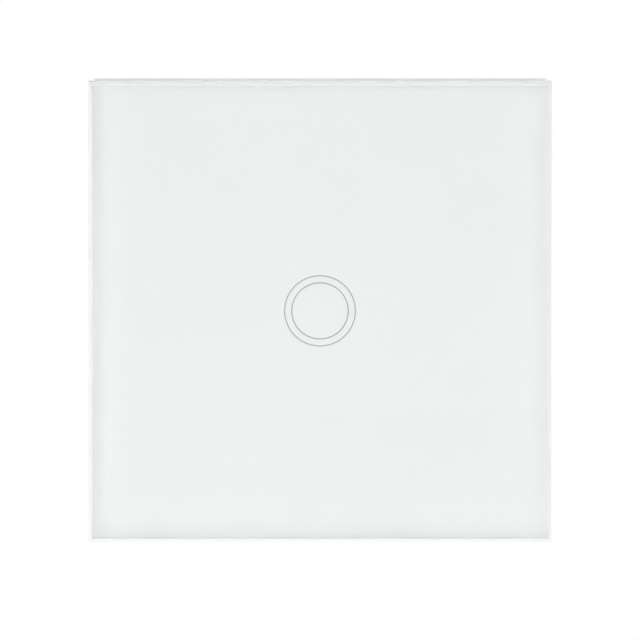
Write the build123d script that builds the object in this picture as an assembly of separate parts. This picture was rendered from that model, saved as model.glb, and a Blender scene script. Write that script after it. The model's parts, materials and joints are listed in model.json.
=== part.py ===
from build123d import *
import os
from math import cos, pi, radians, sin, sqrt, tan

# A one-gang touch light switch with a glass front, in millimetres. The wall is the plane y = 0, the
# front of the switch faces -Y, its module reaches into the wall box along +Y, and +Z is up. The
# origin is the middle of the wall box.

# General
overrun = 1.0                       # how far a cutting shape passes what it cuts
lead_sides = 8                      # thin leads, pegs and wire are drawn with this many sides

# Wall box: what the whole switch is laid out from
wall_screw_spacing = 60.0
wall_slot_width = 4.0
wall_slot_length = 7.0
wall_slot_margin = 5.5              # from the middle of a slot to the bracket's edge

# Glass panel
panel_rise = 9.5                    # from the wall to the face of the glass
glass_thickness = 4.0
glass_chamfer = 0.55
glass_back_chamfer = 0.25

# Enamel printed on the back of the glass, with two ring lines
print_thickness = 0.1
print_edge_gap = 0.3                # clear glass left along the edges
ring_diameters = (12.2, 9.75)       # at the middle of each line
ring_line_width = 0.2

# Foam tape frame
tape_thickness = 0.5
tape_width = 9.0
tape_edge_gap = 1.2                 # in from the carrier's outside

# Carrier behind the glass
carrier_edge_gap = 0.25             # in from the edge of the glass
carrier_wall = 1.8
carrier_web = 1.4
carrier_wall_gap = 0.3              # its rear edge stands this far off the wall
carrier_corner_radius = 1.2
carrier_opening_gap = 0.6           # around the module's flange
carrier_rim = 1.0                   # thickness of the rim round the opening
carrier_rim_gap = 0.4               # from the rim to the bracket
grip_rib_length = 9.0
grip_rib_proud = 2.4
grip_rib_spacing = 38.0             # between the two ribs of one side
grip_clearance = 0.05
grip_lead_in = 0.6
pry_notch_width = 12.0
pry_notch_depth = 1.7

# Steel mounting bracket
bracket_thickness = 1.2
bracket_corner_radius = 4.0
bracket_bend_radius = 1.5           # outside of the bend
bracket_lip_rise = 2.0
bracket_lip_inset = 9.5             # from the bracket's corner to the end of a lip
bracket_relief = 1.0                # notch beside each end of a lip
bracket_opening_gap = 0.3

# Rear housing, with its flange on the front of the bracket
housing_corner_radius = 8.0
housing_wall = 1.5
housing_floor = 1.6
housing_rear_gap = 1.0              # from the relay to the floor
housing_rear_radius = 1.2
flange_reach = 3.5                  # past the housing's walls
flange_thickness = 1.5
flange_corner_radius = 3.0
ledge_width = 2.0
ledge_proud = 1.4
ledge_spacing = 13.0
snap_width = 6.0
snap_proud = 0.5
snap_height = 0.9
snap_gap = 0.15
vent_count = 5
vent_width = 1.2
vent_length = 9.0
vent_spacing = 3.0

# Screws through the flange into the bracket
module_screw_inset = 3.2            # from the flange's edge to a screw's middle
module_screw_radius = 1.2
module_screw_head_radius = 2.2
module_screw_top_radius = 1.6
module_screw_head_height = 1.5
module_screw_length = 5.0
module_screw_hole_gap = 0.25
thread_gap = 0.05
cross_slot_width = 0.6
cross_slot_length = 2.4
cross_slot_depth = 0.8

# Sensor cover, the front of the module
cover_reach = 0.5                   # past the housing's walls
cover_corner_extra = 1.0            # its corners are rounder than the housing's
cover_glass_gap = 0.4               # from its face to the back of the print
cover_thickness = 1.3
cover_wall = 1.3
cover_fit_gap = 0.1                 # round its plug in the housing's mouth
cover_edge = 0.5
spring_well_radius = 7.6
spring_well_wall = 1.0
spring_well_gap = 0.6               # from the well to the board

# Circuit boards
board_gap = 0.6                     # round each board in the housing
sensor_board_place = 0.5            # its front face, behind the wall plane
sensor_board_thickness = 1.0
board_spacing = 2.0                 # between the two boards
power_board_thickness = 1.6
lead_radius = 0.4
lead_hole_gap = 0.1
lead_tail = 0.9                     # how far a lead passes the far side of its board

# Touch spring
spring_wire = 0.5
spring_base_radius = 6.2
spring_tip_radius = 5.4
spring_turns = 4.5
spring_end_gap = 0.02

# Indicator and its pipe
led_length = 3.5
led_width = 2.8
led_height = 1.9
led_window_radius = 1.1
pipe_radius = 3.5
pipe_foot_radius = 4.7
pipe_foot_height = 1.2
pipe_bore_radius = 2.5
pipe_led_gap = 0.2
pipe_glass_gap = 0.5
pipe_edge = 0.4

# Touch chip
chip_length = 4.9
chip_width = 3.9
chip_height = 1.4
chip_stand = 0.15
chip_leg_pitch = 1.27
chip_leg_width = 0.4
chip_leg_reach = 1.0
chip_leg_thickness = 0.2
chip_well_gap = 1.6                 # from the spring well to the chip's legs

# Small surface parts
small_part_length = 2.0
small_part_width = 1.25
small_part_height = 0.55
small_part_pitch = 3.0
small_part_count = 5
small_part_edge_gap = 6.0           # from the edge of the board to the middle of a row

# Link between the boards
header_pins_count = 5
header_pitch = 2.54
header_pin_side = 0.6
header_strip_width = 2.5
header_gap = 2.6                    # from the terminal block to the strip's middle line
header_side_gap = 3.42              # from the housing's inner wall to the first pin
spacer_radius = 1.5
spacer_peg_radius = 0.7
spacer_peg_length = 0.9
spacer_peg_gap = 0.1
spacer_corner_gap = 3.5             # from the housing's inner walls to a spacer's middle

# Relay
relay_length = 18.4
relay_height = 15.3
relay_base_height = 1.8
relay_wall = 0.7
relay_edge = 0.4
relay_side_gap = 2.2                # from the housing's inner wall
relay_top_gap = 3.2
yoke_thickness = 1.0
yoke_width = 6.4
yoke_side_gap = 0.5                 # from the yoke to the relay cover
yoke_height = 9.0
yoke_foot_length = 8.3
core_radius = 1.5
core_head_radius = 2.6
core_head_height = 0.7
bobbin_radius = 3.9
bobbin_flange = 0.7
bobbin_wall = 0.6
bobbin_gap = 0.05
bobbin_yoke_gap = 0.5
bobbin_side_gap = 0.5               # from its flange to the relay cover
coil_gap = 0.05
coil_inset = 0.3
armature_thickness = 0.8
armature_length = 9.5
armature_width = 6.0
armature_gap = 0.05
armature_angle = 2.5                # degrees between rest and pulled in
blade_thickness = 0.2
blade_width = 3.2
blade_start = 3.0
blade_end_gap = 0.6
contact_radius = 1.0
contact_height = 0.45
contact_gap = 0.05
fixed_strip_thickness = 0.4
fixed_strip_width = 3.0
fixed_strip_side_gap = 0.3
fixed_strip_end_gap = 0.3           # from the open contact to the relay cover
rest_strip_width = 2.0
relay_pin_width = 1.0
relay_coil_pin_spacing = 6.0

# Film capacitor
film_capacitor_length = 13.0
film_capacitor_width = 6.0
film_capacitor_height = 12.0
film_capacitor_lead_spacing = 10.0
part_side_gap = 2.0                 # from the housing's inner wall
part_gap = 0.9                      # between neighbours
middle_gap = 4.4                    # between the relay and the film capacitor
row_gap = 5.5                       # between the fuse and the large capacitor

# Electrolytic capacitors
main_electrolytic_radius = 4.0
main_electrolytic_height = 11.5
small_electrolytic_radius = 3.1
small_electrolytic_height = 9.0
electrolytic_groove = 0.35
electrolytic_rim = 0.5              # slope at the top of a can

# Varistor
varistor_radius = 3.5
varistor_thickness = 3.4
varistor_stand = 1.0
varistor_edge = 0.8
varistor_centre = 5.0               # to the left of the middle

# Fuse
fuse_length = 8.5
fuse_width = 4.0
fuse_height = 8.0
fuse_lead_spacing = 5.08
box_edge = 0.4                      # slope along the edges of the fuse and the film capacitor

# Inductor
inductor_radius = 3.0
inductor_height = 8.0
inductor_flange = 1.0
inductor_neck_radius = 1.6
inductor_wire_gap = 0.05
inductor_wire_inset = 0.25

# Bridge rectifier
bridge_length = 4.7
bridge_width = 4.0
bridge_height = 2.4
bridge_lead_reach = 1.1
bridge_lead_width = 0.6
bridge_lead_spacing = 2.5
bridge_lead_thickness = 0.25
bridge_side_gap = 4.05              # from the housing's inner wall

# Terminal block and its three poles
pole_count = 3
pole_pitch = 7.5
block_height = 14.0                 # from the power board to its rear face
block_depth = 12.0
block_end_wall = 0.8
block_face_gap = 0.2                # how far its wire face stands in from the housing's side
block_fit_gap = 0.2
block_wire_wall = 2.2
block_edge = 0.4
wire_hole_radius = 1.4
wire_hole_lead_in = 0.5
clamp_width = 5.4
clamp_depth = 5.6
clamp_gap = 0.2
clamp_roof = 1.8
clamp_floor = 1.0
clamp_cheek = 0.7
clamp_window_height = 3.9
clamp_edge = 0.3
bar_width = 3.6
bar_thickness = 0.8
bar_gap = 0.05
bar_slot_gap = 0.1
bar_pin_width = 1.2
bar_rear_inset = 7.1                # from the block's rear face to the bar
bar_end_gap = 0.9                   # from the block's inner face to the bar's upright leg
terminal_screw_radius = 1.45
terminal_screw_head_radius = 2.0
terminal_screw_head_height = 1.7
terminal_screw_inset = 0.55         # from the block's rear face to the head
screw_well_gap = 0.2
screw_shelf = 0.4
screw_seat_gap = 0.05
screw_slot_width = 0.7
screw_slot_depth = 0.8
thread_pitch = 0.5
terminal_turns = 4.5

# Places that follow from the sizes above
bracket_side = wall_screw_spacing + 2 * wall_slot_margin
carrier_inner_side = bracket_side + 2 * (grip_clearance + grip_rib_proud)
carrier_side = carrier_inner_side + 2 * carrier_wall
panel_side = carrier_side + 2 * carrier_edge_gap
relay_width = 2 * (bobbin_radius + bobbin_side_gap + relay_wall)
across = relay_side_gap + relay_length + middle_gap + film_capacitor_length + part_side_gap
rows = film_capacitor_width + part_gap + 2 * main_electrolytic_radius + row_gap + fuse_width
upward = relay_top_gap + rows + block_fit_gap + block_depth + block_face_gap
housing_side = max(across + 2 * housing_wall, upward + housing_wall)
flange_side = housing_side + 2 * flange_reach
module_screw_spacing = flange_side - 2 * module_screw_inset
cover_side = housing_side + 2 * cover_reach
cover_corner_radius = housing_corner_radius + cover_corner_extra
glass_back = glass_thickness - panel_rise
print_back = glass_back + print_thickness
tape_back = print_back + tape_thickness
web_back = tape_back + carrier_web
bracket_front = -bracket_thickness
flange_front = bracket_front - flange_thickness
cover_front = print_back + cover_glass_gap
cover_back = cover_front + cover_thickness
sensor_board_back = sensor_board_place + sensor_board_thickness
power_board_front = sensor_board_back + board_spacing
power_board_back = power_board_front + power_board_thickness
block_back = power_board_back + block_height
housing_depth = power_board_back + relay_height + housing_rear_gap + housing_floor
inner_half = housing_side / 2 - housing_wall
inner_corner_radius = housing_corner_radius - housing_wall
board_half = inner_half - board_gap
block_low = block_face_gap - housing_side / 2
block_high = block_low + block_depth
block_width = pole_count * pole_pitch + 2 * block_end_wall
pole_places = [(i - (pole_count - 1) / 2) * pole_pitch for i in range(pole_count)]


def slab(outline, front, back):
    """Extrude an outline, drawn in X and Z, from the depth front to the depth back."""
    return extrude(Plane.XZ.offset(-back) * outline, back - front)


def square(side, radius=0):
    """A centred square outline, with rounded corners where a radius is given."""
    if radius:
        return RectangleRounded(side, side, radius)
    return Rectangle(side, side)


def disc(radius, x=0, z=0):
    """A round outline about a place in X and Z."""
    return Pos(x, z) * Circle(radius)


def pin(radius, x=0, z=0):
    """The outline of a thin lead or of its hole, with a few flat sides."""
    return Pos(x, z) * RegularPolygon(radius, lead_sides)


def bar(width, height, x=0, z=0):
    """A rectangular outline about a place in X and Z."""
    return Pos(x, z) * Rectangle(width, height)


def corners(spacing):
    """The four corners of a centred square."""
    return [(i * spacing / 2, k * spacing / 2) for i in (-1, 1) for k in (-1, 1)]


def turned(shape, quarter):
    """The shape turned about Y by a number of quarter turns."""
    return Rot(0, 90 * quarter, 0) * shape


def lathe(points, x=0, z=0):
    """Turn a profile of (radius, depth) points about an axis along Y through x, z."""
    face = make_face(Polyline(*[(r, y, 0) for r, y in points], close=True))
    return Pos(x, 0, z) * revolve(face, Axis.Y, 360)


def group(solids):
    """Several separate solids kept together as one piece."""
    return Compound(list(solids))


def leads(places, board_front, height=0):
    """Round leads from a part on the power board to the board's far side."""
    return [slab(pin(lead_radius, x, z), board_front - lead_tail, power_board_back + height) for x, z in places]


# Glass panel: the glass, its print, the tape and the carrier

def glass_panel():
    glass = slab(square(panel_side), -panel_rise, glass_back)
    glass = chamfer(glass.faces().sort_by(Axis.Y)[0].edges(), glass_chamfer)
    return chamfer(glass.faces().sort_by(Axis.Y)[-1].edges(), glass_back_chamfer)


def ring_outlines():
    half = ring_line_width / 2
    return [disc(d / 2 + half) - disc(d / 2 - half) for d in ring_diameters]


def back_print():
    enamel = slab(square(panel_side - 2 * print_edge_gap), glass_back, print_back)
    for ring in ring_outlines():
        enamel -= slab(ring, glass_back - overrun, print_back + overrun)
    return group(enamel.solids())


def ring_print():
    return group(slab(ring, glass_back, print_back) for ring in ring_outlines())


carrier_back = -carrier_wall_gap
opening_side = flange_side + 2 * carrier_opening_gap
opening_radius = flange_corner_radius + carrier_opening_gap


def adhesive_frame():
    outer = carrier_side - 2 * tape_edge_gap
    return slab(square(outer) - square(outer - 2 * tape_width), print_back, tape_back)


def grip_rib():
    """One rib on the left inner wall, with a sloped lead-in at its rear end."""
    wall = carrier_inner_side / 2
    proud = grip_rib_proud
    profile = Polyline(
        (-wall, web_back),
        (proud - wall, web_back),
        (proud - wall, carrier_back - 2 * grip_lead_in),
        (proud - wall - grip_lead_in, carrier_back),
        (-wall, carrier_back),
        close=True,
    )
    return Pos(0, 0, -grip_rib_length / 2) * extrude(make_face(profile), grip_rib_length)


def panel_carrier():
    outer = square(carrier_side, carrier_corner_radius)
    carrier = slab(outer, tape_back, carrier_back)
    carrier -= slab(square(carrier_inner_side), web_back, carrier_back + overrun)
    rim = square(opening_side + 2 * carrier_rim, opening_radius + carrier_rim)
    carrier += slab(rim, web_back, bracket_front - carrier_rim_gap)
    carrier -= slab(square(opening_side, opening_radius), tape_back - overrun, 0)
    ribs = [Pos(0, 0, side * grip_rib_spacing / 2) * grip_rib() for side in (-1, 1)]
    for quarter in range(4):
        for rib in ribs:
            carrier += turned(rib, quarter)
    notch = Pos(0, carrier_back, -carrier_side / 2) * Box(pry_notch_width, 2 * pry_notch_depth, 3 * carrier_wall)
    return carrier - notch


# Wall bracket and the screws that hold the module on it

def wall_slots():
    slot = SlotOverall(wall_slot_length, wall_slot_width)
    reach = wall_screw_spacing / 2
    sides = [Pos(side * reach, 0) * slot for side in (-1, 1)]
    ends = [Pos(0, side * reach) * Rot(0, 0, 90) * slot for side in (-1, 1)]
    return sides + ends


def bracket_lip():
    """The lip on the right, bent up from the plate, as a profile run along its edge."""
    edge = bracket_side / 2
    inner_bend = bracket_bend_radius - bracket_thickness
    bend_x = edge - bracket_bend_radius
    bend_y = -bracket_bend_radius
    lip_front = bracket_front - bracket_lip_rise
    outer_reach, inner_reach = (bend * sin(radians(45)) for bend in (bracket_bend_radius, inner_bend))
    outer = ThreePointArc((bend_x, 0), (bend_x + outer_reach, bend_y + outer_reach), (edge, bend_y))
    inner = ThreePointArc((edge - bracket_thickness, bend_y), (bend_x + inner_reach, bend_y + inner_reach),
                          (bend_x, bracket_front))
    profile = [outer, Line((edge, bend_y), (edge, lip_front)),
               Line((edge, lip_front), (edge - bracket_thickness, lip_front)),
               Line((edge - bracket_thickness, lip_front), (edge - bracket_thickness, bend_y)),
               inner, Line((bend_x, bracket_front), (bend_x, 0))]
    length = bracket_side - 2 * bracket_lip_inset
    return Pos(0, 0, -length / 2) * extrude(make_face(profile), length)


def mounting_bracket():
    plate = square(bracket_side, bracket_corner_radius)
    plate -= square(housing_side + 2 * bracket_opening_gap, housing_corner_radius + bracket_opening_gap)
    for slot in wall_slots():
        plate -= slot
    for x, z in corners(module_screw_spacing):
        plate -= disc(module_screw_radius + thread_gap, x, z)
    bracket = slab(plate, bracket_front, 0)
    relief_length = bracket_side - 2 * bracket_lip_inset + 2 * bracket_relief
    relief = bar(bracket_bend_radius, relief_length, (bracket_side - bracket_bend_radius) / 2)
    relief = slab(relief, bracket_front - overrun, overrun)
    lip = bracket_lip()
    for quarter in range(4):
        bracket = bracket - turned(relief, quarter) + turned(lip, quarter)
    return bracket


def module_screw():
    """One pan-head screw at the origin, with a cross slot."""
    seat = flange_front
    head_top = seat - module_screw_head_height
    tip = seat + module_screw_length
    body = lathe([(0, head_top), (module_screw_top_radius, head_top), (module_screw_head_radius, seat),
                  (module_screw_radius, seat), (module_screw_radius, tip), (0, tip)])
    cross = bar(cross_slot_length, cross_slot_width) + bar(cross_slot_width, cross_slot_length)
    return body - slab(cross, head_top - overrun, head_top + cross_slot_depth)


def module_screws():
    return group(Pos(x, 0, z) * module_screw() for x, z in corners(module_screw_spacing))


# Rear housing and the sensor cover that closes it

def ledges():
    """Six ledges on the inner walls, on which the power board lies."""
    floor = housing_depth - housing_floor
    reach = inner_half - ledge_proud / 2
    sides = [(side * reach, k * ledge_spacing / 2, ledge_proud, ledge_width) for side in (-1, 1) for k in (-1, 1)]
    top = [(k * ledge_spacing / 2, reach, ledge_width, ledge_proud) for k in (-1, 1)]
    return [slab(bar(w, h, x, z), power_board_back, floor) for x, z, w, h in sides + top]


def rear_housing():
    floor = housing_depth - housing_floor
    body = slab(square(housing_side, housing_corner_radius), bracket_front, housing_depth)
    step_high = block_high + block_fit_gap
    step = bar(housing_side + overrun, housing_side, 0, step_high - housing_side / 2)
    body -= slab(step, block_back, housing_depth + overrun)
    body = fillet(body.faces().sort_by(Axis.Y)[-1].edges(), housing_rear_radius)
    body += slab(square(flange_side, flange_corner_radius), flange_front, bracket_front)
    inside = slab(square(2 * inner_half, inner_corner_radius), flange_front - overrun, floor)
    low_inside = bar(housing_side, housing_side, 0, step_high + housing_wall - housing_side / 2)
    inside -= slab(low_inside, block_back - housing_floor, housing_depth)
    body -= inside
    for ledge in ledges():
        body += ledge
    notch_high = block_high + block_fit_gap
    notch = bar(block_width + 2 * block_fit_gap, housing_side, 0, notch_high - housing_side / 2)
    body -= slab(notch, power_board_back - block_fit_gap, block_back + overrun)
    for x, z in corners(module_screw_spacing):
        hole = disc(module_screw_radius + module_screw_hole_gap, x, z)
        body -= slab(hole, flange_front - overrun, bracket_front + overrun)
    for quarter in range(4):
        body -= turned(snap_nub(snap_gap), quarter)
    for i in range(vent_count):
        place = (i - (vent_count - 1) / 2) * vent_spacing
        vent = bar(vent_width, vent_length, place, inner_half / 2)
        body -= slab(vent, floor - overrun, housing_depth + overrun)
    return body


def snap_nub(gap=0):
    """The nub on the right of the cover's plug, or its pocket in the housing with a gap round it."""
    plug_half = inner_half - cover_fit_gap
    middle = (bracket_front + flange_front) / 2 + snap_height
    foot = snap_height / 2 + gap
    crest = snap_height / 6 + gap
    profile = Polyline(
        (plug_half - cover_wall / 2, middle - foot),
        (plug_half + snap_proud + gap, middle - crest),
        (plug_half + snap_proud + gap, middle + crest),
        (plug_half - cover_wall / 2, middle + foot),
        close=True,
    )
    width = snap_width + 2 * gap
    return Pos(0, 0, -width / 2) * extrude(make_face(profile), width)


def sensor_cover():
    plate = slab(square(cover_side, cover_corner_radius), cover_front, flange_front)
    plate = chamfer(plate.faces().sort_by(Axis.Y)[0].edges(), cover_edge)
    skirt_inside = square(cover_side - 2 * cover_wall, cover_corner_radius - cover_wall)
    plate -= slab(skirt_inside, cover_back, flange_front + overrun)
    plug_side = 2 * (inner_half - cover_fit_gap)
    plug_radius = inner_corner_radius - cover_fit_gap
    plug = square(plug_side, plug_radius) - square(plug_side - 2 * cover_wall, plug_radius - cover_wall)
    plate += slab(plug, cover_back, sensor_board_place)
    well_end = sensor_board_place - spring_well_gap
    plate += slab(disc(spring_well_radius + spring_well_wall), cover_back, well_end)
    plate -= slab(disc(spring_well_radius), cover_front - overrun, well_end + overrun)
    for quarter in range(4):
        plate += turned(snap_nub(), quarter)
    return plate


# Touch spring, a coil of round wire that narrows towards the glass

def spring_point(turn):
    """The wire's middle line after a number of turns from the board, and its direction there."""
    start = sensor_board_place - spring_wire / 2 - spring_end_gap
    end = print_back + spring_wire / 2 + spring_end_gap
    share = turn / spring_turns
    radius = spring_base_radius + (spring_tip_radius - spring_base_radius) * share
    angle = 2 * pi * turn
    narrowing = (spring_tip_radius - spring_base_radius) / spring_turns / (2 * pi)
    rise = (end - start) / spring_turns / (2 * pi)
    place = Vector(radius * cos(angle), start + (end - start) * share, radius * sin(angle))
    along = Vector(narrowing * cos(angle) - radius * sin(angle), rise, narrowing * sin(angle) + radius * cos(angle))
    return place, along.normalized()


def smooth_arcs(p0, t0, p1, t1):
    """Two arcs that join two points, keep both directions and meet smoothly."""
    chord = p1 - p0
    both = t0 + t1
    bend = 2 * (1 - t0.dot(t1))
    reach = (sqrt(chord.dot(both) ** 2 + bend * chord.dot(chord)) - chord.dot(both)) / bend
    middle = (p0 + t0 * reach + p1 - t1 * reach) * (1 / 2)
    turn = (middle - (p0 + t0 * reach)).normalized()
    return [TangentArc(p0, middle, tangent=t0), TangentArc(middle, p1, tangent=turn)]


def touch_spring():
    steps = round(spring_turns * 2)
    arcs = []
    for i in range(steps):
        p0, t0 = spring_point(i * spring_turns / steps)
        p1, t1 = spring_point((i + 1) * spring_turns / steps)
        arcs += smooth_arcs(p0, t0, p1, t1)
    start, along = spring_point(0)
    section = Plane(origin=start, z_dir=along) * RegularPolygon(spring_wire / 2, lead_sides)
    report_spring_gap()
    return sweep(section, path=Wire(arcs))


def report_spring_gap():
    """Print the least gap between neighbouring turns, measured on points of the middle line."""
    samples = 36
    count = round(spring_turns * samples)
    points = [spring_point(i / samples)[0] for i in range(count + 1)]
    pairs = [(a - b).length for i, a in enumerate(points) for b in points[i + samples // 2:]]
    print(f"touch spring: least gap between turns {min(pairs) - spring_wire:.2f} mm")


# Light pipe and indicator

def indicator_led():
    back = sensor_board_place
    front = back - led_height
    body = slab(bar(led_length, led_width), front, back)
    body = chamfer(body.edges().filter_by(Axis.Y), led_width / 10)
    return body - slab(disc(led_window_radius), front - overrun, front + led_height / 10)


def light_pipe():
    back = sensor_board_place
    front = print_back + pipe_glass_gap
    roof = back - led_height - pipe_led_gap
    pipe = lathe([(0, front), (pipe_radius, front), (pipe_radius, back - pipe_foot_height),
                  (pipe_foot_radius, back - pipe_foot_height), (pipe_foot_radius, back),
                  (pipe_bore_radius, back), (pipe_bore_radius, roof), (0, roof)])
    return chamfer(pipe.faces().sort_by(Axis.Y)[0].edges(), pipe_edge)


# Sensor board with its parts

spacer_spacing = 2 * (inner_half - spacer_corner_gap)


def header_places():
    z = block_high + header_gap
    first = header_side_gap - inner_half
    return [(first + i * header_pitch, z) for i in range(header_pins_count)]


def board_blank():
    board = square(2 * board_half, inner_corner_radius - board_gap)
    for x, z in header_places():
        board -= bar(header_pin_side + 2 * lead_hole_gap, header_pin_side + 2 * lead_hole_gap, x, z)
    for x, z in corners(spacer_spacing):
        board -= pin(spacer_peg_radius + spacer_peg_gap, x, z)
    return board


def sensor_board():
    return slab(board_blank(), sensor_board_place, sensor_board_back)


def touch_chip():
    """An eight-legged chip, to the left of the spring well."""
    legs_out = chip_width / 2 + chip_leg_reach
    x = -(spring_well_radius + spring_well_wall + chip_well_gap + legs_out)
    seat = sensor_board_place
    body = slab(bar(chip_width, chip_length, x), seat - chip_stand - chip_height, seat - chip_stand)
    body = chamfer(body.faces().sort_by(Axis.Y)[0].edges(), chip_height / 6)
    drop = chip_stand + chip_height / 2
    leg = bar(chip_leg_reach / 2 + chip_leg_thickness, chip_leg_width)
    foot = bar(chip_leg_reach / 2 + chip_leg_thickness, chip_leg_width)
    riser = bar(chip_leg_thickness, chip_leg_width)
    for side in (-1, 1):
        for i in range(4):
            z = (i - 3 / 2) * chip_leg_pitch
            near = x + side * (chip_width / 2 + chip_leg_reach / 4)
            far = x + side * (legs_out - chip_leg_reach / 4)
            middle = x + side * (chip_width / 2 + chip_leg_reach / 2)
            body += slab(Pos(near, z) * leg, seat - drop - chip_leg_thickness, seat - drop)
            body += slab(Pos(middle, z) * riser, seat - drop - chip_leg_thickness, seat)
            body += slab(Pos(far, z) * foot, seat - chip_leg_thickness, seat)
    return body


def small_part(x, z, back):
    body = slab(bar(small_part_width, small_part_length, x, z), back - small_part_height, back)
    return chamfer(body.faces().sort_by(Axis.Y)[0].edges(), small_part_height / 6)


def row_places(z):
    return [((i - (small_part_count - 1) / 2) * small_part_pitch, z) for i in range(small_part_count)]


def sensor_board_parts():
    z = board_half - small_part_edge_gap
    places = row_places(z) + row_places(-z)
    return group(small_part(x, z, sensor_board_place) for x, z in places)


def header_strip():
    places = header_places()
    middle = (places[0][0] + places[-1][0]) / 2
    strip = slab(bar(header_pins_count * header_pitch, header_strip_width, middle, places[0][1]),
                 sensor_board_back, power_board_front)
    for x, z in places:
        strip -= slab(bar(header_pin_side, header_pin_side, x, z), sensor_board_back, power_board_front)
    return strip


def header_pins():
    front = sensor_board_place - lead_tail
    back = power_board_back + lead_tail
    return group(slab(bar(header_pin_side, header_pin_side, x, z), front, back) for x, z in header_places())


def board_spacers():
    def spacer(x, z):
        body = slab(pin(spacer_radius, x, z), sensor_board_back, power_board_front)
        front = sensor_board_back - spacer_peg_length
        back = power_board_front + spacer_peg_length
        return body + slab(pin(spacer_peg_radius, x, z), front, back)
    return group(spacer(x, z) for x, z in corners(spacer_spacing))


# Relay: a coil pulls a hinged armature, which carries a contact blade between two fixed contacts

relay_x = relay_side_gap + relay_length / 2 - inner_half
relay_z = inner_half - relay_top_gap - relay_width / 2
relay_seat = power_board_back + relay_base_height
relay_top = power_board_back + relay_height
relay_left = relay_x - relay_length / 2 + relay_wall
yoke_left = relay_left + yoke_side_gap
yoke_top = relay_seat + bobbin_gap + yoke_height
core_x = yoke_left + yoke_thickness + bobbin_yoke_gap + bobbin_radius
foot_top = relay_seat + yoke_thickness
armature_low = yoke_top + armature_gap
blade_low = armature_low + armature_thickness
blade_high = blade_low + blade_thickness
strip_x = relay_x + relay_length / 2 - relay_wall - fixed_strip_end_gap - fixed_strip_thickness
open_pin_x = strip_x + fixed_strip_thickness / 2
blade_end = strip_x - fixed_strip_side_gap
contact_x = blade_end - blade_end_gap - contact_radius
open_contact_top = blade_low - contact_height - contact_gap
rest_rise = (contact_x + contact_radius - yoke_left) * tan(radians(armature_angle))
rest_contact_low = blade_high + contact_height + rest_rise + contact_gap
relay_pin_front = power_board_front - lead_tail
common_pin_x = yoke_left + yoke_thickness / 2
coil_pin_places = [(core_x, relay_z + side * relay_coil_pin_spacing / 2) for side in (-1, 1)]
rest_pin_z = relay_z + relay_width / 2 - relay_wall - fixed_strip_side_gap - fixed_strip_thickness / 2
rest_pin_x = contact_x


def relay_pin(width, depth, x, z, back):
    return slab(bar(width, depth, x, z), relay_pin_front, back)


def relay_pin_outlines(gap=0):
    """The outlines of the relay's five pins, with a gap round each for the holes."""
    wide = relay_pin_width + 2 * gap
    thin = fixed_strip_thickness + 2 * gap
    outlines = [bar(yoke_thickness + 2 * gap, wide, common_pin_x, relay_z), bar(thin, wide, open_pin_x, relay_z)]
    outlines += [bar(wide, thin, rest_pin_x, rest_pin_z)]
    return outlines + [pin(lead_radius + gap, x, z) for x, z in coil_pin_places]


def relay_base():
    base = slab(bar(relay_length - 2 * relay_wall, relay_width - 2 * relay_wall, relay_x, relay_z),
                power_board_back, relay_seat)
    for outline in relay_pin_outlines():
        base -= slab(outline, power_board_back - overrun, relay_seat + overrun)
    return base


def relay_cover():
    cover = slab(bar(relay_length, relay_width, relay_x, relay_z), power_board_back, relay_top)
    cover = chamfer(cover.edges().filter_by(Axis.Y) + cover.faces().sort_by(Axis.Y)[-1].edges(), relay_edge)
    inside = bar(relay_length - 2 * relay_wall, relay_width - 2 * relay_wall, relay_x, relay_z)
    return cover - slab(inside, power_board_back - overrun, relay_top - relay_wall)


def relay_yoke():
    leg = slab(bar(yoke_thickness, yoke_width, common_pin_x, relay_z), relay_seat, yoke_top)
    foot = bar(yoke_foot_length, yoke_width, yoke_left + yoke_foot_length / 2, relay_z)
    yoke = leg + slab(foot, relay_seat, foot_top)
    yoke += relay_pin(yoke_thickness, relay_pin_width, common_pin_x, relay_z, relay_seat)
    for x, z in coil_pin_places:
        yoke -= slab(pin(lead_radius + lead_hole_gap, x, z), relay_seat - overrun, foot_top + overrun)
    return yoke


def relay_core():
    return lathe([(0, foot_top), (core_radius, foot_top), (core_radius, yoke_top - core_head_height),
                  (core_head_radius, yoke_top - core_head_height), (core_head_radius, yoke_top),
                  (0, yoke_top)], core_x, relay_z)


def relay_bobbin():
    low = foot_top + bobbin_gap
    high = yoke_top - core_head_height - bobbin_gap
    bore = core_radius + bobbin_gap
    hub = bore + bobbin_wall
    return lathe([(bore, low), (bobbin_radius, low), (bobbin_radius, low + bobbin_flange),
                  (hub, low + bobbin_flange), (hub, high - bobbin_flange),
                  (bobbin_radius, high - bobbin_flange), (bobbin_radius, high), (bore, high)], core_x, relay_z)


def relay_coil():
    low = foot_top + bobbin_gap + bobbin_flange + coil_gap
    high = yoke_top - core_head_height - bobbin_gap - bobbin_flange - coil_gap
    inner = core_radius + bobbin_gap + bobbin_wall + coil_gap
    outer = bobbin_radius - coil_inset
    winding = lathe([(inner, low), (outer, low), (outer, high), (inner, high)], core_x, relay_z)
    return winding


def relay_coil_pins():
    return group(slab(pin(lead_radius, x, z), relay_pin_front, relay_seat) for x, z in coil_pin_places)


def opened(shape):
    """The armature's parts are drawn pulled in, and tip open about the yoke's outer edge."""
    pivot = Pos(yoke_left, armature_low, relay_z)
    return pivot * Rot(0, 0, armature_angle) * pivot.inverse() * shape


def relay_armature():
    plate = bar(armature_length, armature_width, yoke_left + armature_length / 2, relay_z)
    return opened(slab(plate, armature_low, blade_low))


def relay_contact_blade():
    start = yoke_left + blade_start
    blade = slab(bar(blade_end - start, blade_width, (start + blade_end) / 2, relay_z), blade_low, blade_high)
    blade += slab(disc(contact_radius, contact_x, relay_z), blade_low - contact_height, blade_high + contact_height)
    return opened(blade)


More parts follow.
